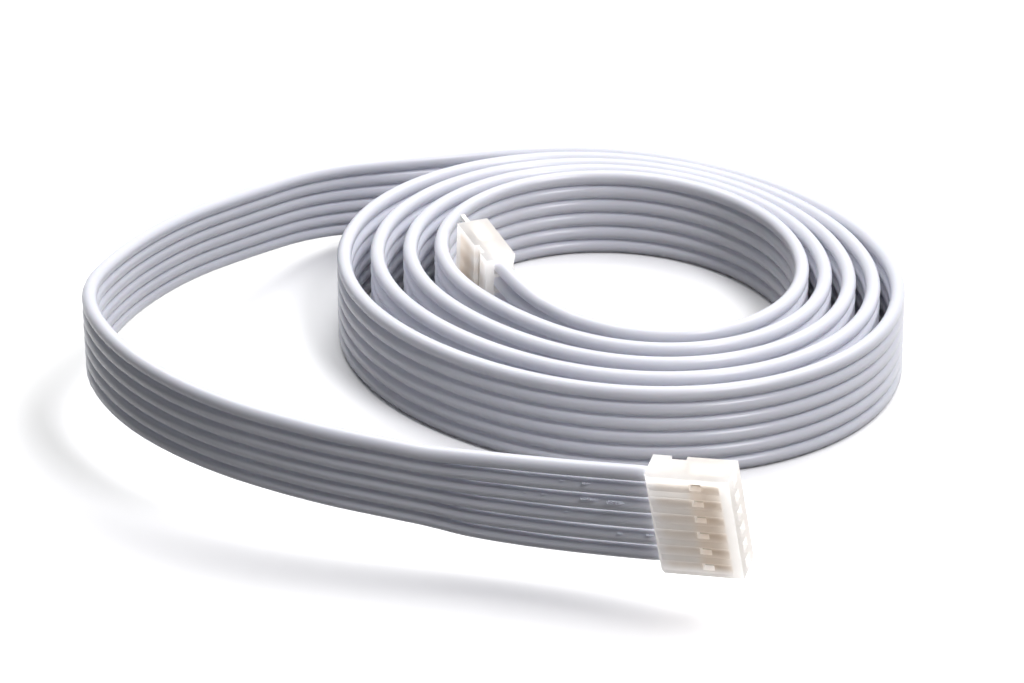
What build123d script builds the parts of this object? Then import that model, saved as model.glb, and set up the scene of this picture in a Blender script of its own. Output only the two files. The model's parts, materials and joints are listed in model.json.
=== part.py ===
from build123d import *
import math
import os

# Six-core flat cable, wound on edge as a flat spiral, with a crimp connector at each end.
# Millimetres, +Z up, origin on the surface under the middle of the coil.

# ---------------------------------------------------------------- driving dimensions
core_count = 6
core_pitch = 1.7            # spacing of the cores inside the flat cable
insulation_diameter = 1.6   # each core over its insulation, also the cable's thickness
conductor_diameter = 0.76   # the stranded copper inside

contact_pitch = 2.0         # spacing of the cavities in both housings
housing_length = 8.7
end_wall = 1.05             # from the outermost cavity centre to the end of the row
housing_thickness = 3.5
front_wall = 0.9            # the wall that the contacts stop against
cavity_size = 1.65          # square cavity that holds one contact
wire_end_chamfer = 0.45
channel_radius = 0.9        # shallow hollow over each cavity on the outer face
channel_depth = 0.25
channel_stop = 1.1          # plain rim left at the mating end
window_start = 4.5
window_length = 1.2
window_width = 0.8
back_groove_start = 1.9
back_groove_length = 1.65
back_groove_depth = 0.5
socket_hole = 0.8
lead_in_depth = 0.3
lead_in_angle = 35.0

clearance = 0.05            # around a contact in its cavity, and a pin in its hole
stock = 0.2                 # sheet metal of the contacts
grip_start = 1.1
grip_length = 1.2
crimped_diameter = 1.2      # the insulation where the grip squeezes it
wire_reach = 1.0            # full-size insulation inside the housing
crimped_length = 1.4
core_reach = 1.6            # bare copper past the insulation
barrel_gap = 0.3            # insulation end to core barrel
barrel_length = 1.2
barrel_wall = 0.18
crimp_slit = 0.16
neck_width = 0.9
box_start = 4.3
box_end_gap = 0.05
tongue_width = 0.7
tongue_rise = 0.35
lance_length = 0.9
lance_height = 0.3
pin_size = 0.5
pin_reach = 3.2             # pin beyond the housing's face
pin_point = 0.35
pin_box_length = 2.3

coil_start = 0.2            # turns are counted from the left-hand side, seen from above
coil_end = 4.8
coil_span = 5.0             # turns between the two rings that shape the spiral
inner_ring_radius = 17.8
outer_ring_radius = 32.2
inner_ring_centre = (1.9, 4.9)
outer_ring_centre = (-1.5, 0.1)
inner_ring_oval = 2.0
outer_ring_oval = 2.4
inner_oval_axis = -63.0
outer_oval_axis = -40.0
outline_steps = 24
tangent_step = 0.001         # turns either side, to find the spiral's direction

coil_exit_run = 11.9        # straight on from the coil's outer end, before the free loop
coil_exit_lean = 8.0
coil_entry_run = 2.4        # the same at its inner end

# Free stretch from there round to the socket: x, y, height of the middle,
# and how far the top leans towards -Y, in degrees.
loop_route = [
    (-33.8, 24.6, 6.6, 16),
    (-41.4, 14.4, 8.5, 19),
    (-48.1, 3.7, 10.6, 19),
    (-53.6, -8.3, 12.0, 17),
    (-56.9, -20.5, 12.6, 8),
    (-52.4, -32.4, 12.4, 8),
    (-43.6, -41.3, 11.7, 12),
    (-32.4, -46.2, 10.5, 12),
    (-22.5, -48.75, 9.6, 12),
]
# Where the six cores run apart to the socket: x, y, height, lean and spacing.
socket_fan = [
    (-22.5, -48.75, 9.6, 12, 1.7),
    (-20.09, -49.37, 9.38, 12, 1.7),
    (-15.4, -50.65, 9.1, 12, 1.9),
]
socket_approach = 8.0       # straight run of each core before the housing
socket_entry = (2.3, -56.2, 10.0)
socket_heading = -19.5
socket_rise = 5.5
socket_lean = 12.0

# Short stretch from the coil's inner end to the plug.
lead_route = [
    (-7.71, -9.19, 5.15, 0),
]
plug_fan = [
    (-7.71, -9.19, 5.15, 0, 1.7),
    (-9.32, -7.41, 5.24, 0, 1.7),
]
plug_approach = 2.4
plug_entry = (-13.2, -2.0, 6.1)
plug_heading = 112.0
plug_rise = 5.0

# ---------------------------------------------------------------- derived sizes
cable_width = (core_count - 1) * core_pitch + insulation_diameter
cable_middle = cable_width / 2
housing_width = (core_count - 1) * contact_pitch + 2 * end_wall
contact_size = cavity_size - 2 * clearance
cavity_length = housing_length - front_wall
crimped_end = wire_reach + crimped_length
box_end = cavity_length - box_end_gap


def offsets(pitch):
    """Places of the cores across the cable, lowest first."""
    return [(index - (core_count - 1) / 2) * pitch for index in range(core_count)]


# ---------------------------------------------------------------- the coil's spiral
def ring_value(inner, outer, turn):
    return inner + (outer - inner) * turn / coil_span


def coil_point(turn, outward=0.0):
    """A point of the spiral's middle line in plan, or off it by outward."""
    angle = math.radians(180 + 360 * turn)
    radius = ring_value(inner_ring_radius, outer_ring_radius, turn)
    radius += ring_value(inner_ring_centre[0], outer_ring_centre[0], turn) * math.cos(angle)
    radius += ring_value(inner_ring_centre[1], outer_ring_centre[1], turn) * math.sin(angle)
    oval_cos = ring_value(inner_ring_oval * math.cos(math.radians(2 * inner_oval_axis)),
                          outer_ring_oval * math.cos(math.radians(2 * outer_oval_axis)), turn)
    oval_sin = ring_value(inner_ring_oval * math.sin(math.radians(2 * inner_oval_axis)),
                          outer_ring_oval * math.sin(math.radians(2 * outer_oval_axis)), turn)
    radius += oval_cos * math.cos(2 * angle) + oval_sin * math.sin(2 * angle)
    radius += outward
    return Vector(radius * math.cos(angle), radius * math.sin(angle), 0)


def coil_run(turn):
    """The spiral's direction at a turn, with the turns counted upwards."""
    return (coil_point(turn + tangent_step) - coil_point(turn - tangent_step)).normalized()


def facing_turn(end_turn, other_turn, outward):
    """The turn, next to other_turn, whose side lies straight across from the cable's end."""
    along = (coil_point(end_turn) - coil_point(other_turn, outward)).dot(coil_run(end_turn))
    stretch = coil_point(other_turn + tangent_step) - coil_point(other_turn - tangent_step)
    return other_turn + along * 2 * tangent_step / stretch.length


def coil_outline(end_turn, other_turn, outward):
    """One turn of the spiral's outer or inner side, closed by a face square to the cable's end."""
    corner = coil_point(end_turn) + coil_run(end_turn).rotate(Axis.Z, -90) * outward
    span = facing_turn(end_turn, other_turn, outward) - end_turn
    side = [coil_point(end_turn + span * step / outline_steps, outward)
            for step in range(1, outline_steps + 1)]
    return make_face([Spline([corner] + side), Line(side[-1], corner)])


def coil_solid():
    half = insulation_diameter / 2
    outer = coil_outline(coil_end, coil_end - 1, half)
    hole = coil_outline(coil_start, coil_start + 1, -half)
    return extrude(outer - hole, cable_width, dir=(0, 0, 1))


# ---------------------------------------------------------------- free stretches
def corner_radii(points):
    """Each corner's arc takes 0.45 of its shorter run."""
    radii = []
    for before, corner, after in zip(points, points[1:], points[2:]):
        run_in = Vector(*corner) - Vector(*before)
        run_out = Vector(*after) - Vector(*corner)
        turn = math.radians(run_in.get_angle(run_out))
        radii.append(0.45 * min(run_in.length, run_out.length) / math.tan(turn / 2))
    return radii


def route_line(name, points):
    radii = corner_radii(points)
    print(name, "radii", [round(radius, 1) for radius in radii])
    if not radii:
        return Line(*points)
    return FilletPolyline(*points, radius=radii)


def lean_vector(lean, reach):
    angle = math.radians(lean)
    return Vector(0, -reach * math.sin(angle), reach * math.cos(angle))


def leaving_points(turn, reach, lean):
    """The coil's end and a level point straight on from it, as route points."""
    end = coil_point(turn)
    straight_on = end + coil_run(turn) * reach
    return [(end.X, end.Y, cable_middle, 0), (straight_on.X, straight_on.Y, cable_middle, lean)]


def flat_cable(name, route):
    """The flat section carried along the route, leaning as the route says."""
    middle = [point[:3] for point in route]
    top = [tuple(Vector(*point[:3]) + lean_vector(point[3], cable_middle)) for point in route]
    line = route_line(name, middle)
    top_line = FilletPolyline(*top, radius=corner_radii(top))
    section_plane = Plane(origin=line @ 0, x_dir=(0, 0, 1), z_dir=line % 0)
    section = section_plane * Rectangle(cable_width, insulation_diameter)
    solid = sweep(section, path=line, binormal=top_line)
    print(name, "length", round(line.length, 1), "volume", round(solid.volume, 1),
          "section times length", round(cable_width * insulation_diameter * line.length, 1))
    return solid


def wire(name, route, approach, index, connector):
    """One insulated core from the flat cable's end into its housing, squeezed by the grip."""
    points = []
    for x, y, z, lean, pitch in route:
        points.append(tuple(Vector(x, y, z) + lean_vector(lean, offsets(pitch)[index])))
    place = offsets(contact_pitch)[index]
    for along in (-approach, wire_reach):
        points.append(tuple(connector.from_local_coords((along, place, 0))))
    line = route_line(name, points)
    start = Plane(origin=line @ 0, z_dir=line % 0)
    insulation = sweep(start * Circle(insulation_diameter / 2), path=line)
    squeezed = Pos(wire_reach, place, 0) * Rot(0, 90, 0) * Cylinder(
        crimped_diameter / 2, crimped_length, align=(Align.CENTER, Align.CENTER, Align.MIN))
    return insulation + connector.location * squeezed


# ---------------------------------------------------------------- connectors
# Each is drawn with X from the wires to the mating face, Y along the row of contacts
# and Z towards the outer face, then set in place by its plane.
def connector_plane(entry, heading, rise, lean):
    turn = math.radians(heading)
    tilt = math.radians(rise)
    forward = Vector(math.cos(turn) * math.cos(tilt), math.sin(turn) * math.cos(tilt), math.sin(tilt))
    outward = Vector(math.sin(turn), -math.cos(turn), 0)
    outward = outward.rotate(Axis((0, 0, 0), forward), lean)
    return Plane(origin=entry, x_dir=forward, z_dir=outward)


def block(start, finish, width, height, z=0.0):
    """A box from start to finish along X, centred on Y and on the height z."""
    return Pos((start + finish) / 2, 0, z) * Box(finish - start, width, height)


def housing(mating_hole, lead_in):
    face = housing_thickness / 2
    shell = block(0, housing_length, housing_width, housing_thickness)
    wire_edge = shell.edges().filter_by(Axis.Y).group_by(Axis.X)[0].sort_by(Axis.Z)[-1]
    shell = chamfer(wire_edge, wire_end_chamfer)
    shell -= block(back_groove_start, back_groove_start + back_groove_length,
                   housing_width, back_groove_depth, -face + back_groove_depth / 2)
    hole = block(0, cavity_length, cavity_size, cavity_size)
    hole += block(cavity_length, housing_length, mating_hole, mating_hole)
    hole += block(window_start, window_start + window_length, window_width, face, face / 2)
    channel_height = face + channel_radius - channel_depth
    channel = Pos(0, 0, channel_height) * Rot(0, 90, 0) * Cylinder(
        channel_radius, housing_length - channel_stop,
        align=(Align.CENTER, Align.CENTER, Align.MIN))
    hole += channel
    if lead_in:
        spread = mating_hole + 2 * lead_in_depth * math.tan(math.radians(lead_in_angle))
        mouth = Plane(origin=(housing_length, 0, 0), x_dir=(0, 1, 0), z_dir=(-1, 0, 0))
        hole += extrude(mouth * Rectangle(spread, spread), lead_in_depth, taper=lead_in_angle)
    for place in offsets(contact_pitch):
        shell -= Pos(0, place, 0) * hole
    return shell


def crimp_tube(start, length, inner, outer):
    """A rolled crimp barrel, open along a narrow seam at the top."""
    tube = Cylinder(outer / 2, length) - Cylinder(inner / 2, length)
    tube = Pos(start + length / 2, 0, 0) * Rot(0, 90, 0) * tube
    return tube - block(start, start + length, crimp_slit, outer, outer / 2)


def contact_tail():
    """Insulation grip, core barrel and the strip that carries them."""
    grip = crimp_tube(grip_start, grip_length, crimped_diameter + clearance / 2,
                      contact_size - clearance)
    barrel_inner = conductor_diameter + clearance / 2
    barrel = crimp_tube(crimped_end + barrel_gap, barrel_length, barrel_inner,
                        barrel_inner + 2 * barrel_wall)
    strip_start = grip_start + grip_length
    neck = block(grip_start, box_start + stock, neck_width, stock, (stock - contact_size) / 2)
    neck -= block(grip_start, strip_start, neck_width, 2 * contact_size)
    riser_height = contact_size / 2 - barrel_inner / 2 - barrel_wall / 2
    riser = block(crimped_end + barrel_gap, crimped_end + barrel_gap + barrel_length,
                  conductor_diameter / 2, riser_height, (riser_height - contact_size) / 2)
    heel = block(strip_start - stock, strip_start + stock, conductor_diameter / 2,
                 stock, (stock - contact_size) / 2)
    return grip + heel + neck + riser + barrel


def lance():
    """The locking tab that stands up into the housing's window."""
    top = contact_size / 2
    start = window_start + (window_length - lance_length) / 2
    profile = Polyline((start, 0, top - stock / 2), (start, 0, top),
                       (start + lance_length, 0, top + lance_height),
                       (start + lance_length, 0, top - stock / 2), close=True)
    return extrude(make_face(profile), window_width / 4, dir=(0, 1, 0), both=True)


def contact_box(length):
    tube = block(box_start, box_start + length, contact_size, contact_size)
    bore = contact_size - 2 * stock
    return tube - block(box_start, box_start + length, bore, bore)


def tongue():
    """The spring leaf that presses on the pin, rising from the box's floor."""
    floor = stock - contact_size / 2
    crest = box_end - (box_end - box_start) / 3
    leaf = stock / 2
    profile = Polyline((box_start + stock, 0, floor - leaf), (box_start + stock, 0, floor + leaf),
                       (crest, 0, floor + leaf + tongue_rise), (box_end - stock, 0, floor + leaf),
                       (box_end - stock, 0, floor), (crest, 0, floor + tongue_rise),
                       (box_start + 2 * stock, 0, floor - leaf), close=True)
    return extrude(make_face(profile), tongue_width / 2, dir=(0, 1, 0), both=True)


def socket_contact():
    return contact_tail() + contact_box(box_end - box_start) + lance() + tongue()


def plug_contact():
    box_finish = box_start + pin_box_length
    tip = housing_length + pin_reach
    plate = block(box_finish - stock, box_finish, contact_size, contact_size)
    pin = block(box_finish - stock / 2, tip - pin_point, pin_size, pin_size)
    point = Plane(origin=(tip - pin_point, 0, 0), x_dir=(0, 1, 0), z_dir=(1, 0, 0))
    nib = extrude(point * Rectangle(pin_size, pin_size), pin_point, taper=22)
    return contact_tail() + contact_box(pin_box_length) + plate + pin + nib + lance()


def bare_core():
    return Pos(crimped_end, 0, 0) * Rot(0, 90, 0) * Cylinder(
        conductor_diameter / 2, core_reach, align=(Align.CENTER, Align.CENTER, Align.MIN))


# ---------------------------------------------------------------- the whole cable
def place_end(kind, plane, fan, approach, shell, contact):
    nodes[kind + "_housing"] = plane.location * shell
    for index, place in enumerate(offsets(contact_pitch)):
        number = str(index + 1)
        seat = plane.location * Pos(0, place, 0)
        nodes[kind + "_contact_" + number] = seat * contact
        nodes[kind + "_core_" + number] = seat * bare_core()
        nodes[kind + "_wire_" + number] = wire(kind + " wire " + number, fan, approach, index, plane)


nodes = {"cable_coil": coil_solid()}
exit_points = leaving_points(coil_end, coil_exit_run, coil_exit_lean)
entry_points = leaving_points(coil_start, -coil_entry_run, 0)
nodes["cable_loop"] = flat_cable("loop", exit_points + loop_route)
nodes["cable_lead"] = flat_cable("lead", entry_points + lead_route)

socket_plane = connector_plane(socket_entry, socket_heading, socket_rise, socket_lean)
plug_plane = connector_plane(plug_entry, plug_heading, plug_rise, 0)
socket_shell = housing(socket_hole, True)
plug_shell = housing(pin_size + 2 * clearance, False)
place_end("socket", socket_plane, socket_fan, socket_approach, socket_shell, socket_contact())
place_end("plug", plug_plane, plug_fan, plug_approach, plug_shell, plug_contact())

os.makedirs("parts", exist_ok=True)
for node_name, shape in nodes.items():
    export_step(shape, "parts/" + node_name + ".step")

turn_length = sum((coil_point(coil_start + (step + 1) / 100) - coil_point(coil_start + step / 100)).length
                  for step in range(round(100 * (coil_end - coil_start))))
print("cable in the coil", round(turn_length, 1))
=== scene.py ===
# %% [markdown]
# # A six-core flat extension cable, coiled on edge
# The real object is about 0.9 m of white flat cable: six insulated cores side by side,
# joined by thin webs. It stands on its lower edge and is wound as a loose flat spiral.
# One end comes round in a free loop to a six-way socket, and the other ends in a pin
# plug inside the coil. The CAD frame holds the two connectors; the cable is made here.

# %% Load the frame
import bpy
import bmesh
import json
import math
import random
from mathutils import Matrix, Vector

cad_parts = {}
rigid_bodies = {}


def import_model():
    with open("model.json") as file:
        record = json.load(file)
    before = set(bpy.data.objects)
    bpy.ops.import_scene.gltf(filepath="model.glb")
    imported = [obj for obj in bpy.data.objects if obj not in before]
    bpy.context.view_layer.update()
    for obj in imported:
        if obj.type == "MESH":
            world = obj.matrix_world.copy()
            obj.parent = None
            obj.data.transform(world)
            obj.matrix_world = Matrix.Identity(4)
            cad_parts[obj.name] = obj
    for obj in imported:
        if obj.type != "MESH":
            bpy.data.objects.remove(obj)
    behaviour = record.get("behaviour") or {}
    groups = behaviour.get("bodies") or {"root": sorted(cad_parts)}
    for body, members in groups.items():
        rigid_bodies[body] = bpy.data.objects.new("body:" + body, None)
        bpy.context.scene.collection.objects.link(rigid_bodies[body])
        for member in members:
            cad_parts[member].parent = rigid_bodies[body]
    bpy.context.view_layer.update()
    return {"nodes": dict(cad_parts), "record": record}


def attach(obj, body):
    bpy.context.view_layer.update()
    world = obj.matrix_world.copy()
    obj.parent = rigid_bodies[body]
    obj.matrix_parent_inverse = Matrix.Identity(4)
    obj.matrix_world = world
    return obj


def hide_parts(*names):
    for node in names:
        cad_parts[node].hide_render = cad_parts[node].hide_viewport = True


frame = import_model()
MM = 0.001

# %% [markdown]
# ## Small helpers
# Every operator works on what is selected, so a step starts with nothing selected.
# A finished piece keeps its place in its mesh, and its object stays at the origin.

# %% Helpers for pieces
def deselect_all():
    bpy.ops.object.select_all(action="DESELECT")


def keep_active(piece):
    deselect_all()
    piece.select_set(True)
    bpy.context.view_layer.objects.active = piece


def apply_place(piece):
    keep_active(piece)
    bpy.ops.object.transform_apply(location=True, rotation=True, scale=True)


def apply_modifiers(piece):
    keep_active(piece)
    for modifier in list(piece.modifiers):
        bpy.ops.object.modifier_apply(modifier=modifier.name)


def add_to_scene(name, mesh):
    piece = bpy.data.objects.new(name, mesh)
    bpy.context.scene.collection.objects.link(piece)
    return piece


def join_to_root(piece, material):
    """The piece takes its material and rides on the only body."""
    piece.data.materials.clear()
    piece.data.materials.append(material)
    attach(piece, "root")


# %% [markdown]
# ## The cable's line
# A flat cable standing on edge bends only sideways, so each core follows the same plan
# and keeps its height, apart from the places where the cable leans. The coil's turns come
# from one formula, as a spiral whose ring is slightly oval and off centre, because the
# real turns are pushed together at the back and stand apart at the front. The free loop
# is a short list of chosen points: x, y, height of the middle, and the lean of the top
# towards the front, in degrees.

# %% Sizes of the cable
core_count = 6
core_pitch = 1.7 * MM
contact_pitch = 2.0 * MM
insulation_radius = 0.8 * MM
cable_middle = 5.05 * MM    # height of the cable's middle line in the coil

coil_start = 0.2    # turns
coil_end = 4.8
coil_span = 5.0     # turns from the inner ring to the outer one
inner_ring_radius = 17.8 * MM
outer_ring_radius = 32.2 * MM
inner_ring_centre = (1.9 * MM, 4.9 * MM)
outer_ring_centre = (-1.5 * MM, 0.1 * MM)
inner_ring_oval = 2.0 * MM
outer_ring_oval = 2.4 * MM
inner_oval_axis = -63.0     # degrees
outer_oval_axis = -40.0
points_per_turn = 24
print("cable", core_count, "cores, width", (core_count - 1) * core_pitch + 2 * insulation_radius)


# %% The spiral
def ring_value(inner, outer, turn):
    return inner + (outer - inner) * turn / coil_span


def oval_part(wave, turn):
    """The ring's oval as the share of one wave, cosine or sine, at twice the angle."""
    inner = inner_ring_oval * wave(math.radians(2 * inner_oval_axis))
    outer = outer_ring_oval * wave(math.radians(2 * outer_oval_axis))
    return ring_value(inner, outer, turn)


def coil_point(turn):
    """A point of the spiral's middle line, turns counted from the left-hand side."""
    angle = math.radians(180 + 360 * turn)
    radius = ring_value(inner_ring_radius, outer_ring_radius, turn)
    radius += ring_value(inner_ring_centre[0], outer_ring_centre[0], turn) * math.cos(angle)
    radius += ring_value(inner_ring_centre[1], outer_ring_centre[1], turn) * math.sin(angle)
    oval = oval_part(math.cos, turn) * math.cos(2 * angle)
    oval += oval_part(math.sin, turn) * math.sin(2 * angle)
    radius += oval
    return Vector((radius * math.cos(angle), radius * math.sin(angle), cable_middle))


print("turns of the coil", coil_end - coil_start)


# %% The free stretches
opening_pitch = 1.9 * MM    # the cores on their way apart to the socket
# x, y, height, lean and spacing of the cores, from the plug's side to the socket's.
lead_route = [
    (-0.00932, -0.00741, 0.00524, 0, core_pitch),
    (-0.00771, -0.00919, 0.00515, 0, core_pitch),
    (-0.00597, -0.01112, 0.00505, 0, core_pitch),
]
loop_route = [
    (-0.0221, 0.0300, 0.00505, 8, core_pitch),
    (-0.0338, 0.0246, 0.0066, 16, core_pitch),
    (-0.0414, 0.0144, 0.0085, 19, core_pitch),
    (-0.0481, 0.0037, 0.0106, 19, core_pitch),
    (-0.0536, -0.0083, 0.0120, 17, core_pitch),
    (-0.0569, -0.0205, 0.0126, 8, core_pitch),
    (-0.0524, -0.0324, 0.0124, 8, core_pitch),
    (-0.0436, -0.0413, 0.0117, 12, core_pitch),
    (-0.0324, -0.0462, 0.0105, 12, core_pitch),
    (-0.0225, -0.04875, 0.0096, 12, core_pitch),
    (-0.02009, -0.04937, 0.00938, 12, core_pitch),
    (-0.0154, -0.05065, 0.0091, 12, opening_pitch),
]
coil_steps = round((coil_end - coil_start) * points_per_turn)
coil_turns = [coil_start + (coil_end - coil_start) * step / coil_steps
              for step in range(coil_steps + 1)]
route = list(lead_route)
for turn in coil_turns:
    point = coil_point(turn)
    route.append((point.x, point.y, point.z, 0, core_pitch))
route += loop_route
print("route points", len(route))

# %% [markdown]
# ## Where the connectors sit
# Each connector has its own axes: forward from the wires to the mating face, across along
# the row of contacts, and outward through the face with the windows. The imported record
# gives each mating face and its direction, and the housing's length leads back to the
# side where the wires go in.

# %% Connector axes
housing_length = 8.7 * MM
crimped_end = 2.4 * MM      # how far the insulation reaches into its contact
full_size_end = 1.0 * MM    # where the grip starts to squeeze it
crimped_radius = 0.6 * MM
mounts = {mount["name"]: mount for mount in frame["record"]["mounts"]}


def connector_place(mount_name, lean):
    """Matrix from the connector's own axes to the frame's."""
    forward = Vector(mounts[mount_name]["axis"]).normalized()
    entry = Vector(mounts[mount_name]["pos_m"]) - forward * housing_length
    outward = forward.cross(Vector((0, 0, 1))).normalized()
    outward = Matrix.Rotation(math.radians(lean), 3, forward) @ outward
    across = outward.cross(forward)
    place = Matrix((forward, across, outward)).transposed().to_4x4()
    place.translation = entry
    return place


connector_lean = {"socket": 12, "plug": 0}              # degrees
approach = {"socket": 8.0 * MM, "plug": 2.4 * MM}       # straight way before each housing
connector = {kind: connector_place(f"{kind}_face", lean)
             for kind, lean in connector_lean.items()}
for kind, place in connector.items():
    print(kind, "entry", [round(value / MM, 2) for value in place.translation])


# %% Control points of one core
def core_offset(index, pitch):
    return (index - (core_count - 1) / 2) * pitch


def seat_points(kind, index):
    """The straight way of a core into its contact, deepest point first."""
    across = core_offset(index, contact_pitch)
    return [connector[kind] @ Vector((along, across, 0))
            for along in (crimped_end, -approach[kind])]


def core_points(index):
    """The core's control points from the plug to the socket."""
    points = seat_points("plug", index)
    for x, y, z, lean, pitch in route:
        tilt = math.radians(lean)
        reach = core_offset(index, pitch)
        points.append(Vector((x, y - reach * math.sin(tilt), z + reach * math.cos(tilt))))
    return points + seat_points("socket", index)[::-1]


print("control points of a core", len(core_points(0)))

# %% [markdown]
# ## One smooth line for each core
# A NURBS curve keeps the cable's bends even, as the stiff insulation does. Its order and
# its end setting come after its points. The tube's rings then follow the line that
# Blender works out from it.

# %% Read each core's line
line_resolution = 6


def core_line(index):
    """The points that Blender works out for one core's curve."""
    curve = bpy.data.curves.new("core_line", "CURVE")
    curve.dimensions = "3D"
    curve.resolution_u = line_resolution
    points = core_points(index)
    spline = curve.splines.new("NURBS")
    spline.points.add(len(points) - 1)
    for spline_point, point in zip(spline.points, points):
        spline_point.co = (*point, 1)
    spline.order_u = 3
    spline.use_endpoint_u = True
    holder = bpy.data.objects.new("core_line", curve)
    mesh = bpy.data.meshes.new_from_object(holder)
    line = [vertex.co.copy() for vertex in mesh.vertices]
    bpy.data.objects.remove(holder)
    bpy.data.curves.remove(curve)
    bpy.data.meshes.remove(mesh)
    return line


def line_length(line):
    return sum((b - a).length for a, b in zip(line, line[1:]))


lines = [core_line(index) for index in range(core_count)]
lengths = [line_length(line) for line in lines]
print("samples", len(lines[0]), "lengths", [round(length, 4) for length in lengths])

# %% [markdown]
# ## The cores as tubes
# The six cores are extruded as one flat cable, and a thin web joins each to the next. Near
# the connectors the webs are torn, and a low ragged ridge stays on each core. So a tube's
# ring is a circle with a narrow bulge towards each neighbour: where the cable is whole,
# two bulges meet and make the web, and where it is split, the bulge is only a ridge.

# %% The ring of a core
quarter_angles = (0, 8, 16, 27, 43, 60, 78)     # degrees, closest where the bulge is steep
ring_angles = sorted({angle % 360 for quarter in quarter_angles
                      for angle in (quarter, -quarter, 180 - quarter, 180 + quarter)})
web_spread = 11.0           # degrees
web_reach = 0.1 * MM
ridge_reach = 0.05 * MM     # the most that a torn ridge stands out
split_spacing = 0.06 * MM   # spacing beyond the pitch at which a web has torn


def bulge(angle):
    """1 towards the neighbour, falling to 0 on both sides."""
    return math.exp(-((angle + 180) % 360 - 180) ** 2 / web_spread ** 2)


def web_whole(spacing):
    """1 where two cores are still joined, 0 where they have come apart."""
    return max(0.0, min(1.0, 1 - (spacing - core_pitch) / split_spacing))


def neighbour_web(index, step, side, ragged):
    """How far the bulge towards one neighbour stands out at one ring."""
    if not 0 <= index + side < core_count:
        return 0.0
    spacing = (lines[index][step] - lines[index + side][step]).length
    whole = web_whole(spacing)
    return web_reach * whole + ridge_reach * ragged.random() * (1 - whole)


print("ring points", len(ring_angles))


# %% Place the rings
def core_radius(index, step):
    """The insulation's radius: smaller inside the core's own contacts, in their grips."""
    seat = core_offset(index, contact_pitch)
    for place in connector.values():
        along, across, outward = place.inverted() @ lines[index][step]
        in_cavity = max(abs(across - seat), abs(outward)) < insulation_radius
        if in_cavity and full_size_end < along < housing_length:
            return crimped_radius
    return insulation_radius


def ring_radii(index, step, ragged):
    """The ring's radius at each of its angles."""
    base = core_radius(index, step)
    above = neighbour_web(index, step, 1, ragged)
    below = neighbour_web(index, step, -1, ragged)
    return [base + above * bulge(angle) + below * bulge(angle - 180) for angle in ring_angles]


def upright(step, tangent):
    """Up across the flat cable at one ring, square to the core."""
    up = lines[-1][step] - lines[0][step]
    return (up - tangent * up.dot(tangent)).normalized()


def add_rings(mesh, index):
    """A ring of vertices round each point of the core's line."""
    line = lines[index]
    ragged = random.Random(index)
    rings = []
    for step, point in enumerate(line):
        before = line[max(step - 1, 0)]
        after = line[min(step + 1, len(line) - 1)]
        tangent = (after - before).normalized()
        up = upright(step, tangent)
        side = tangent.cross(up)
        ring = []
        for angle, radius in zip(ring_angles, ring_radii(index, step, ragged)):
            turn = math.radians(angle)
            spot = point + up * radius * math.cos(turn) + side * radius * math.sin(turn)
            ring.append(mesh.verts.new(spot))
        rings.append(ring)
    return rings


print("rings of a core", len(lines[0]))


# %% Join the rings
def travelled_along(line):
    """Distance from the line's start to each of its points."""
    travelled = [0.0]
    for a, b in zip(line, line[1:]):
        travelled.append(travelled[-1] + (b - a).length)
    return travelled


def add_skin(mesh, rings, travelled, uv_layer):
    """Faces between the rings. Their UV is the length along the core and the way round it."""
    count = len(ring_angles)
    for step in range(len(rings) - 1):
        for corner in range(count):
            following = (corner + 1) % count
            face = mesh.faces.new((rings[step][corner], rings[step][following],
                                   rings[step + 1][following], rings[step + 1][corner]))
            face.smooth = True
            around = (corner / count, (corner + 1) / count)
            spots = ((travelled[step], around[0]), (travelled[step], around[1]),
                     (travelled[step + 1], around[1]), (travelled[step + 1], around[0]))
            for loop, spot in zip(face.loops, spots):
                loop[uv_layer].uv = spot


def core_mesh(index):
    mesh = bmesh.new()
    uv_layer = mesh.loops.layers.uv.new("UVMap")
    rings = add_rings(mesh, index)
    add_skin(mesh, rings, travelled_along(lines[index]), uv_layer)
    mesh.faces.new(rings[0][::-1])
    mesh.faces.new(rings[-1])
    bmesh.ops.recalc_face_normals(mesh, faces=mesh.faces)
    data = bpy.data.meshes.new(f"core_{index + 1}")
    mesh.to_mesh(data)
    mesh.free()
    return data


cores = [add_to_scene(f"core_{index + 1}", core_mesh(index)) for index in range(core_count)]
print("faces of a core", len(cores[0].data.polygons))

# %% [markdown]
# ## Torn shreds of web
# Where the cores are pulled apart, the web tears unevenly, and a few small ragged shreds
# stay on them. A displaced texture would give the tubes bumps but no loose film, so each
# shred is a piece of its own. It starts as a flat grid. Its ends are drawn in, its free
# part is moved at random with a fixed seed, and the sheet gets a thickness. Two shreds are
# modelled and copied along the cores, each copy with its own mesh.

# %% Model a shred
def select_vertices(piece, wanted):
    """Select in edit mode the vertices for which wanted is true."""
    bpy.ops.object.mode_set(mode="OBJECT")
    for vertex in piece.data.vertices:
        vertex.select = wanted(vertex.co)
    bpy.ops.object.mode_set(mode="EDIT")


shred_thickness = 0.07 * MM
narrow_ends = 0.4       # share of the length, from its middle, beyond which a shred narrows
narrowing = 0.3
rooted_edge = 0.3       # share of the height, below its middle, past which it stays straight
raggedness = 0.3        # share of the height by which the free part moves


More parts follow.
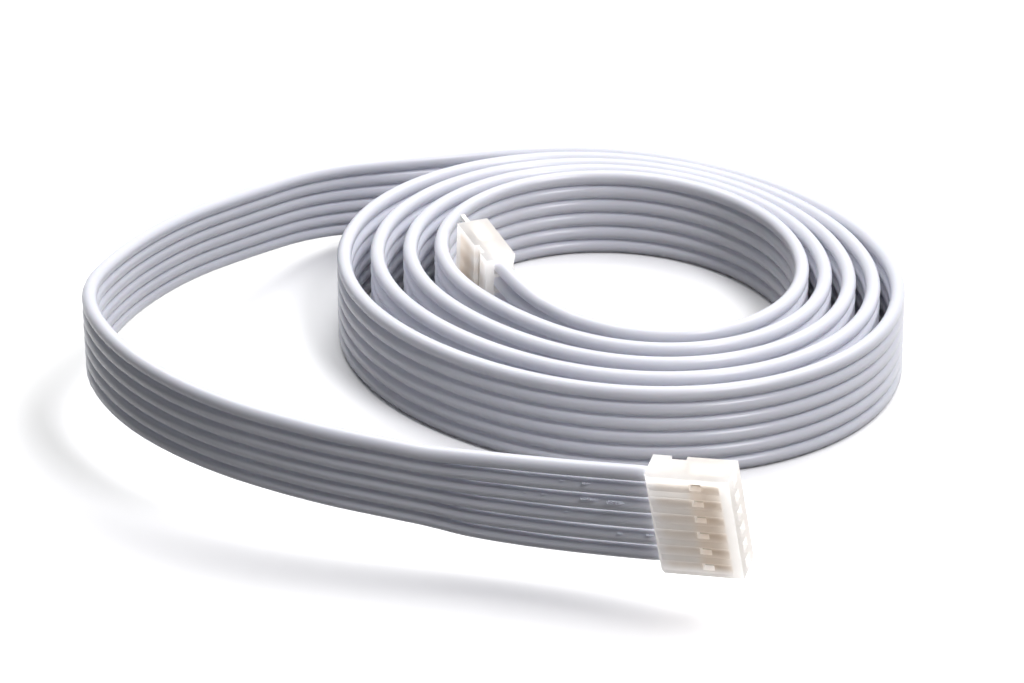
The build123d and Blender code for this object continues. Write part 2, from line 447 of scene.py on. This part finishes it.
def model_shred(name, length, height, seed):
    deselect_all()
    bpy.ops.mesh.primitive_grid_add(x_subdivisions=16, y_subdivisions=4, size=1)
    shred = bpy.context.object
    shred.name = name
    bpy.ops.object.mode_set(mode="EDIT")
    bpy.ops.mesh.select_mode(type="VERT")
    bpy.ops.mesh.select_all(action="SELECT")
    bpy.ops.transform.resize(value=(length, height, 1))
    bpy.ops.mesh.select_all(action="DESELECT")
    select_vertices(shred, lambda spot: abs(spot.x) > narrow_ends * length)
    bpy.ops.transform.resize(value=(1, narrowing, 1), center_override=(0, -height / 2, 0))
    bpy.ops.mesh.select_all(action="DESELECT")
    select_vertices(shred, lambda spot: spot.y > -rooted_edge * height)
    bpy.ops.transform.vertex_random(offset=raggedness * height, uniform=0.6, normal=0.0,
                                    seed=seed)
    bpy.ops.mesh.select_all(action="SELECT")
    bpy.ops.mesh.faces_shade_smooth()
    bpy.ops.object.mode_set(mode="OBJECT")
    solid = shred.modifiers.new("thickness", "SOLIDIFY")
    solid.thickness = shred_thickness
    solid.offset = 0
    rounding = shred.modifiers.new("rounding", "SUBSURF")
    rounding.levels = 1
    rounding.render_levels = 1
    apply_modifiers(shred)
    return shred


long_shred = model_shred("long_shred", 2.0 * MM, 0.6 * MM, 3)
short_shred = model_shred("short_shred", 0.9 * MM, 0.5 * MM, 8)
print("faces of a shred", len(long_shred.data.polygons))


# %% Copy the shreds along the cores
shred_lean = 30                 # degrees that a shred hangs forward from its core's surface
shred_clearance = 0.12 * MM     # from the insulation to the shred's middle


def place_on_core(index, from_end, around):
    """Axes of a shred: along its core, outward and across. around counts from top to front."""
    line = lines[index]
    step = len(line) - 1
    left = from_end
    while left > 0:
        left -= (line[step] - line[step - 1]).length
        step -= 1
    tangent = (line[step + 1] - line[step]).normalized()
    up = upright(step, tangent)
    front = tangent.cross(up)

    def direction(angle):
        return up * math.cos(math.radians(angle)) + front * math.sin(math.radians(angle))

    out = direction(around + shred_lean)
    place = Matrix((tangent, out, tangent.cross(out))).transposed().to_4x4()
    place.translation = line[step] + direction(around) * (insulation_radius + shred_clearance)
    return place


# Core from 0, millimetres from its end inside the contact, degrees from top to front, shape, size.
shred_places = [
    (3, 4.9, 46, long_shred, 0.8),
    (3, 6.0, 52, long_shred, 1.0),
    (3, 7.3, 44, long_shred, 1.0),
    (3, 8.8, 40, short_shred, 0.9),
    (3, 12.5, 40, short_shred, 0.6),
    (3, 14.6, 40, short_shred, 0.5),
    (4, 7.7, 44, short_shred, 0.9),
    (4, 9.2, 40, short_shred, 0.6),
    (1, 3.2, 44, short_shred, 0.8),
    (1, 4.1, 48, short_shred, 0.6),
    (2, 11.2, 40, short_shred, 0.5),
]
shreds = {index: [] for index in range(core_count)}
for index, from_end, around, shape, size in shred_places:
    shred = add_to_scene(f"shred_{index + 1}_{len(shreds[index]) + 1}", shape.data.copy())
    place = place_on_core(index, from_end * MM, around)
    shred.matrix_world = place @ Matrix.Diagonal((size, size, size, 1))
    apply_place(shred)
    shreds[index].append(shred)
for shape in (long_shred, short_shred):
    bpy.data.objects.remove(shape)
print("shreds", sum(len(row) for row in shreds.values()))

# %% [markdown]
# ## Fine grain for every finish
# No moulded, extruded or stamped surface is one flat colour. A node group gives all the
# finishes the same kind of grain: soft patches for the colour, and a height for the bump.
# It is built once, and each material sets its own scales. The rest of a finish stays in its
# own material.

# %% Node helpers
def new_material(name):
    material = bpy.data.materials.new(name)
    material.use_nodes = True
    return material


def shader_of(material):
    return material.node_tree.nodes["Principled BSDF"]


def add_node(tree, kind, **values):
    """A new node with some of its settings."""
    node = tree.nodes.new(kind)
    for name, value in values.items():
        setattr(node, name, value)
    return node


def set_inputs(node, **values):
    """Set sockets by name, with _ for each space."""
    for name, value in values.items():
        node.inputs[name.replace("_", " ")].default_value = value


# A Mix node has sockets of the same name for numbers and for colours, so they go by place.
mix_factor = 0
mix_number_a, mix_number_b, mixed_number = 2, 3, 0
mix_colour_a, mix_colour_b, mixed_colour = 6, 7, 2


# %% Fine grain group
coarse_share = 0.6      # height of the coarse grain beside the fine one


def make_grain_group():
    group = bpy.data.node_groups.new("fine_grain", "ShaderNodeTree")
    group.interface.new_socket("Vector", in_out="INPUT", socket_type="NodeSocketVector")
    group.interface.new_socket("Coarse scale", in_out="INPUT", socket_type="NodeSocketFloat")
    group.interface.new_socket("Fine scale", in_out="INPUT", socket_type="NodeSocketFloat")
    group.interface.new_socket("Patches", in_out="OUTPUT", socket_type="NodeSocketFloat")
    group.interface.new_socket("Height", in_out="OUTPUT", socket_type="NodeSocketFloat")
    start = add_node(group, "NodeGroupInput")
    end = add_node(group, "NodeGroupOutput")
    coarse = add_node(group, "ShaderNodeTexNoise")
    fine = add_node(group, "ShaderNodeTexNoise")
    coarse.inputs["Detail"].default_value = 3
    fine.inputs["Detail"].default_value = 4
    total = add_node(group, "ShaderNodeMath", operation="MULTIPLY_ADD")
    total.inputs[1].default_value = coarse_share
    group.links.new(start.outputs["Vector"], coarse.inputs["Vector"])
    group.links.new(start.outputs["Vector"], fine.inputs["Vector"])
    group.links.new(start.outputs["Coarse scale"], coarse.inputs["Scale"])
    group.links.new(start.outputs["Fine scale"], fine.inputs["Scale"])
    group.links.new(coarse.outputs["Fac"], end.inputs["Patches"])
    group.links.new(coarse.outputs["Fac"], total.inputs[0])
    group.links.new(fine.outputs["Fac"], total.inputs[2])
    group.links.new(total.outputs[0], end.inputs["Height"])
    return group


grain_group = make_grain_group()
print("group", grain_group.name, "nodes", len(grain_group.nodes))


# %% Use the grain
def add_grain(material, coarse_scale, fine_scale):
    """The grain group in a material, on Object coordinates; scales are per metre."""
    tree = material.node_tree
    source = add_node(tree, "ShaderNodeTexCoord")
    grain = add_node(tree, "ShaderNodeGroup", node_tree=grain_group)
    grain.inputs["Coarse scale"].default_value = coarse_scale
    grain.inputs["Fine scale"].default_value = fine_scale
    tree.links.new(source.outputs["Object"], grain.inputs["Vector"])
    return grain


def blend_colours(material, mask, low, high, low_at=0.35, high_at=0.65):
    """Base colour between two tones, by a mask from a group."""
    tree = material.node_tree
    ramp = add_node(tree, "ShaderNodeValToRGB")
    ramp.color_ramp.elements[0].position = low_at
    ramp.color_ramp.elements[0].color = (*low, 1)
    ramp.color_ramp.elements[1].position = high_at
    ramp.color_ramp.elements[1].color = (*high, 1)
    tree.links.new(mask, ramp.inputs["Fac"])
    return ramp.outputs["Color"]


def add_bump(material, height, strength, distance):
    tree = material.node_tree
    bump = add_node(tree, "ShaderNodeBump")
    bump.inputs["Strength"].default_value = strength
    bump.inputs["Distance"].default_value = distance
    tree.links.new(height, bump.inputs["Height"])
    tree.links.new(bump.outputs["Normal"], shader_of(material).inputs["Normal"])


# %% [markdown]
# ## White PVC of the cable
# The insulation is white PVC with a cool, slightly lilac tint and a soft gloss. It is dense,
# so very little light enters it: a plain glossy plastic would do, and a trace of subsurface
# scattering softens the dark grooves between the cores.

# %% Insulation
pvc_shade = (0.83, 0.84, 0.91)
pvc_light = (0.87, 0.88, 0.945)


def make_insulation():
    material = new_material("white_pvc")
    shader = shader_of(material)
    grain = add_grain(material, coarse_scale=90, fine_scale=900)
    colour = blend_colours(material, grain.outputs["Patches"], pvc_shade, pvc_light)
    material.node_tree.links.new(colour, shader.inputs["Base Color"])
    set_inputs(shader, Roughness=0.28, Subsurface_Weight=0.06, Subsurface_Scale=0.4 * MM)
    add_bump(material, grain.outputs["Height"], strength=0.12, distance=0.05 * MM)
    return material


insulation = make_insulation()
print("material", insulation.name)

# %% [markdown]
# ## The cores as pieces
# A flat cable is wider than the gap between two turns of its coil, so it is made core by
# core. Each core and its shreds take the white PVC and ride on the only body, and the
# frame's own cable and wires are hidden. The socket contact and the shreds of each core are
# listed beside it, and the socket's housing beside the first one.

for index, core in enumerate(cores):
    number = index + 1
    join_to_root(core, insulation)
    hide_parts("cable_coil", "cable_loop", "cable_lead",
                f"plug_wire_{number}", f"socket_wire_{number}")
    held = [bpy.data.objects[f"socket_contact_{number}"]] + shreds[index]
    if number == 1:
        held.append(bpy.data.objects["socket_housing"])
    for shred in shreds[index]:
        join_to_root(shred, insulation)
    print(core.name, "carries", [piece.name for piece in held])

# %% [markdown]
# ## Nylon that lets light through
# The housings are natural nylon. Its thin walls glow where light comes from behind, and
# the metal inside shows as tan bands. Glass would be too clear for it, and plain white too
# dead. So the surface is mostly a translucent shader, and rays from lamps pass through the
# walls until a contact stops them. Painted shade over the contacts finishes the bands: the
# nylon's colour is painted tan over the contacts' boxes and darker along the cavities.

# %% Steps of arithmetic
def add_value(tree, operation, first, second):
    """One arithmetic step; either side is a number or another node's output."""
    node = add_node(tree, "ShaderNodeMath", operation=operation)
    for socket, value in zip(node.inputs, (first, second)):
        if isinstance(value, (int, float)):
            socket.default_value = value
        else:
            tree.links.new(value, socket)
    return node.outputs[0]


def soft_step(tree, value, low, high):
    """0 at low, 1 at high, and smooth between them."""
    node = add_node(tree, "ShaderNodeMapRange", interpolation_type="SMOOTHSTEP")
    node.inputs["From Min"].default_value = low
    node.inputs["From Max"].default_value = high
    tree.links.new(value, node.inputs["Value"])
    return node.outputs["Result"]


# %% Where the contacts show through: masks for the painted shade
row_full, row_gone = 4.9 * MM, 5.8 * MM         # from the row's middle, across
band_start, band_full = 0.2 * MM, 1.4 * MM      # from the wires' side, along
band_fading, band_end = 7.3 * MM, 7.9 * MM
box_start, box_full = 3.9 * MM, 5.2 * MM


def make_contact_shade_group():
    """Masks for the painted shade: bands along each cavity, and the stretch where the contacts
    have their boxes.
    """
    group = bpy.data.node_groups.new("contact_shade", "ShaderNodeTree")
    group.interface.new_socket("Vector", in_out="INPUT", socket_type="NodeSocketVector")
    group.interface.new_socket("Bands", in_out="OUTPUT", socket_type="NodeSocketFloat")
    group.interface.new_socket("Boxes", in_out="OUTPUT", socket_type="NodeSocketFloat")
    start = add_node(group, "NodeGroupInput")
    end = add_node(group, "NodeGroupOutput")
    split = add_node(group, "ShaderNodeSeparateXYZ")
    group.links.new(start.outputs["Vector"], split.inputs[0])
    along, across = split.outputs["X"], split.outputs["Y"]
    phase = add_value(group, "MULTIPLY", add_value(group, "ADD", across, contact_pitch / 2),
                      2 * math.pi / contact_pitch)
    wave = add_value(group, "MULTIPLY_ADD", add_value(group, "COSINE", phase, 0), 0.5)
    wave.node.inputs[2].default_value = 0.5
    row = soft_step(group, add_value(group, "ABSOLUTE", across, 0), row_gone, row_full)
    reach = add_value(group, "MULTIPLY", soft_step(group, along, band_start, band_full),
                      soft_step(group, along, band_end, band_fading))
    bands = add_value(group, "MULTIPLY", add_value(group, "MULTIPLY", wave, row), reach)
    boxes = add_value(group, "MULTIPLY", soft_step(group, along, box_start, box_full),
                      add_value(group, "MULTIPLY", row, reach))
    group.links.new(bands, end.inputs["Bands"])
    group.links.new(boxes, end.inputs["Boxes"])
    return group


contact_shade_group = make_contact_shade_group()
print("group", contact_shade_group.name, "nodes", len(contact_shade_group.nodes))

# %% Nylon of the housings
nylon_glow = 0.75           # share of the light that comes from behind
nylon_clearness = 0.95      # share of a lamp's ray that each surface lets on
nylon_shade = (0.875, 0.86, 0.845)
nylon_light = (0.895, 0.885, 0.87)
# Painted shade over the contacts: for each mask, its strength and the painted colour.
painted_contact_shades = (("Boxes", 0.5, (0.92, 0.82, 0.71)), ("Bands", 0.4, (0.76, 0.68, 0.60)))


def let_light_through(material, colour):
    """Natural nylon glows where it is lit from behind, and darkens where a contact blocks that."""
    tree = material.node_tree
    glow = add_node(tree, "ShaderNodeBsdfTranslucent")
    both = add_node(tree, "ShaderNodeMixShader")
    both.inputs[0].default_value = nylon_glow
    clear = add_node(tree, "ShaderNodeBsdfTransparent")
    path = add_node(tree, "ShaderNodeLightPath")
    passed = add_node(tree, "ShaderNodeMixShader")
    tree.links.new(colour, glow.inputs["Color"])
    tree.links.new(shader_of(material).outputs[0], both.inputs[1])
    tree.links.new(glow.outputs[0], both.inputs[2])
    lamp_share = add_value(tree, "MULTIPLY", path.outputs["Is Shadow Ray"], nylon_clearness)
    tree.links.new(lamp_share, passed.inputs[0])
    tree.links.new(both.outputs[0], passed.inputs[1])
    tree.links.new(clear.outputs[0], passed.inputs[2])
    tree.links.new(passed.outputs[0], tree.nodes["Material Output"].inputs["Surface"])


def make_nylon(name, place):
    """Nylon for the housing at one place, which sets where the painted shade over its contacts
    falls.
    """
    material = new_material(name)
    tree = material.node_tree
    shader = shader_of(material)
    grain = add_grain(material, coarse_scale=350, fine_scale=2600)
    colour = blend_colours(material, grain.outputs["Patches"], nylon_shade, nylon_light)
    source = add_node(tree, "ShaderNodeTexCoord")
    local = add_node(tree, "ShaderNodeMapping", vector_type="TEXTURE")
    local.inputs["Location"].default_value = place.translation
    local.inputs["Rotation"].default_value = place.to_euler()
    shade = add_node(tree, "ShaderNodeGroup", node_tree=contact_shade_group)
    tree.links.new(source.outputs["Object"], local.inputs["Vector"])
    tree.links.new(local.outputs["Vector"], shade.inputs["Vector"])
    # The painted shade: tan over the contacts' boxes, darker along the cavities.
    for mask, strength, painted_shade in painted_contact_shades:
        mix = add_node(tree, "ShaderNodeMix", data_type="RGBA")
        share = add_value(tree, "MULTIPLY", shade.outputs[mask], strength)
        tree.links.new(share, mix.inputs[mix_factor])
        tree.links.new(colour, mix.inputs[mix_colour_a])
        mix.inputs[mix_colour_b].default_value = (*painted_shade, 1)
        colour = mix.outputs[mixed_colour]
    tree.links.new(colour, shader.inputs["Base Color"])
    set_inputs(shader, Roughness=0.38, Subsurface_Weight=0.3, Subsurface_Scale=0.8 * MM,
               Subsurface_Radius=(1.0, 0.94, 0.86))
    add_bump(material, grain.outputs["Height"], strength=0.1, distance=0.05 * MM)
    let_light_through(material, colour)
    return material


def paint_node(node_name, material):
    node = frame["nodes"][node_name]
    node.data.materials.clear()
    node.data.materials.append(material)


for kind, place in connector.items():
    paint_node(f"{kind}_housing", make_nylon(f"{kind}_nylon", place))
print("housings painted", len(connector))

# %% [markdown]
# ## Metal of the contacts and the copper
# The contacts are stamped from tinned bronze, and the cores end in bare copper. Both are
# drawn or rolled metal, neither polished nor matt. One recipe makes the two: a metallic
# surface with a fine grain in its colour and its bump.

# %% Contacts and copper
def make_metal(name, low, high, roughness):
    material = new_material(name)
    shader = shader_of(material)
    grain = add_grain(material, coarse_scale=700, fine_scale=3000)
    colour = blend_colours(material, grain.outputs["Patches"], low, high)
    material.node_tree.links.new(colour, shader.inputs["Base Color"])
    set_inputs(shader, Roughness=roughness, Metallic=1.0)
    add_bump(material, grain.outputs["Height"], strength=0.1, distance=0.02 * MM)
    return material


tinned = make_metal("tinned_bronze", (0.62, 0.60, 0.55), (0.76, 0.74, 0.68), 0.32)
copper = make_metal("bare_copper", (0.70, 0.38, 0.24), (0.86, 0.52, 0.36), 0.35)
for kind in connector:
    for number in range(1, core_count + 1):
        paint_node(f"{kind}_contact_{number}", tinned)
        paint_node(f"{kind}_core_{number}", copper)
print("contacts painted", len(connector) * core_count)

# %% [markdown]
# ## Floor, light and camera
# The floor is plain and pale. It shows brighter than the light it gives back to the cable,
# so that it stays white while the cable keeps its own shading. A large soft lamp high
# behind the object lights the tops, a small one high in front draws the lines between the
# cores, and a very weak sky fills the rest. The sky looks white in low views and in gloss,
# as a studio's pale walls do. The camera looks down at the coil from the front, with a
# long lens.

# %% Floor
floor_size = 1.8
floor_bounce = (0.17, 0.17, 0.175)      # colour for light on its way to the cable
floor_seen = (1.27, 1.27, 1.27)         # colour for rays that show the floor itself


def seen_directly(tree):
    """1 for rays that show the floor or the sky: in the view, in gloss or through the object."""
    path = add_node(tree, "ShaderNodeLightPath")
    first = add_node(tree, "ShaderNodeMath", operation="MAXIMUM")
    either = add_node(tree, "ShaderNodeMath", operation="MAXIMUM")
    tree.links.new(path.outputs["Is Camera Ray"], first.inputs[0])
    tree.links.new(path.outputs["Is Glossy Ray"], first.inputs[1])
    tree.links.new(first.outputs[0], either.inputs[0])
    tree.links.new(path.outputs["Is Transmission Ray"], either.inputs[1])
    return either.outputs[0]


def make_floor_material():
    material = new_material("pale_floor")
    tree = material.node_tree
    shader = shader_of(material)
    set_inputs(shader, Roughness=0.9, Specular_IOR_Level=0.2)
    colour = add_node(tree, "ShaderNodeMix", data_type="RGBA")
    colour.inputs[mix_colour_a].default_value = (*floor_bounce, 1)
    colour.inputs[mix_colour_b].default_value = (*floor_seen, 1)
    tree.links.new(seen_directly(tree), colour.inputs[mix_factor])
    tree.links.new(colour.outputs[mixed_colour], shader.inputs["Base Color"])
    return material


deselect_all()
bpy.ops.mesh.primitive_plane_add(size=floor_size, location=(0, 0, 0))
floor = bpy.context.object
floor.name = "floor"
floor.data.materials.append(make_floor_material())
print("floor", floor_size, "m")


# %% Light
def add_lamp(name, spot, width, depth, power, colour):
    """A soft oval lamp that points at the middle of the floor."""
    lamp_data = bpy.data.lights.new(name, "AREA")
    lamp_data.shape = "ELLIPSE"
    lamp_data.size = width
    lamp_data.size_y = depth
    lamp_data.energy = power
    lamp_data.color = colour
    lamp = add_to_scene(name, lamp_data)
    lamp.location = spot
    lamp.rotation_euler = (-Vector(spot)).to_track_quat("-Z", "Y").to_euler()
    print(name, "watts", power)


add_lamp("key_lamp", spot=(0.14, 0.36, 0.9), width=1.5, depth=1.1, power=12.0,
         colour=(1.0, 1.0, 1.0))
add_lamp("front_lamp", spot=(0.38, -0.42, 0.72), width=0.32, depth=0.32, power=3.6,
         colour=(0.97, 0.96, 1.0))

# %% Sky
sky_light = 0.01        # strength that lights the object
sky_seen = 1.0          # strength in the view, in gloss and through the object
world = bpy.data.worlds.new("even_sky")
bpy.context.scene.world = world
world.use_nodes = True
sky = world.node_tree.nodes["Background"]
sky.inputs["Color"].default_value = (0.9, 0.94, 1.0, 1)
strength = add_node(world.node_tree, "ShaderNodeMix", data_type="FLOAT")
strength.inputs[mix_number_a].default_value = sky_light
strength.inputs[mix_number_b].default_value = sky_seen
world.node_tree.links.new(seen_directly(world.node_tree), strength.inputs[mix_factor])
world.node_tree.links.new(strength.outputs[mixed_number], sky.inputs["Strength"])
print("sky strength", sky_light, "seen as", sky_seen)

# %% Camera
camera_target = Vector((-11.9, -8.5, 5.1)) * MM
camera_distance = 510 * MM
camera_height_angle = math.radians(26.5)
camera_data = bpy.data.cameras.new("camera")
camera_data.lens = 166.6
camera_data.sensor_width = 36
camera_data.clip_start = 0.01
camera = add_to_scene("camera", camera_data)
camera.location = camera_target + camera_distance * Vector((0, -math.cos(camera_height_angle),
                                                            math.sin(camera_height_angle)))
camera.rotation_euler = (math.radians(90) - camera_height_angle, 0, 0)
bpy.context.scene.camera = camera
bpy.context.scene.view_settings.view_transform = "Standard"
print("camera at", [round(value, 3) for value in camera.location])
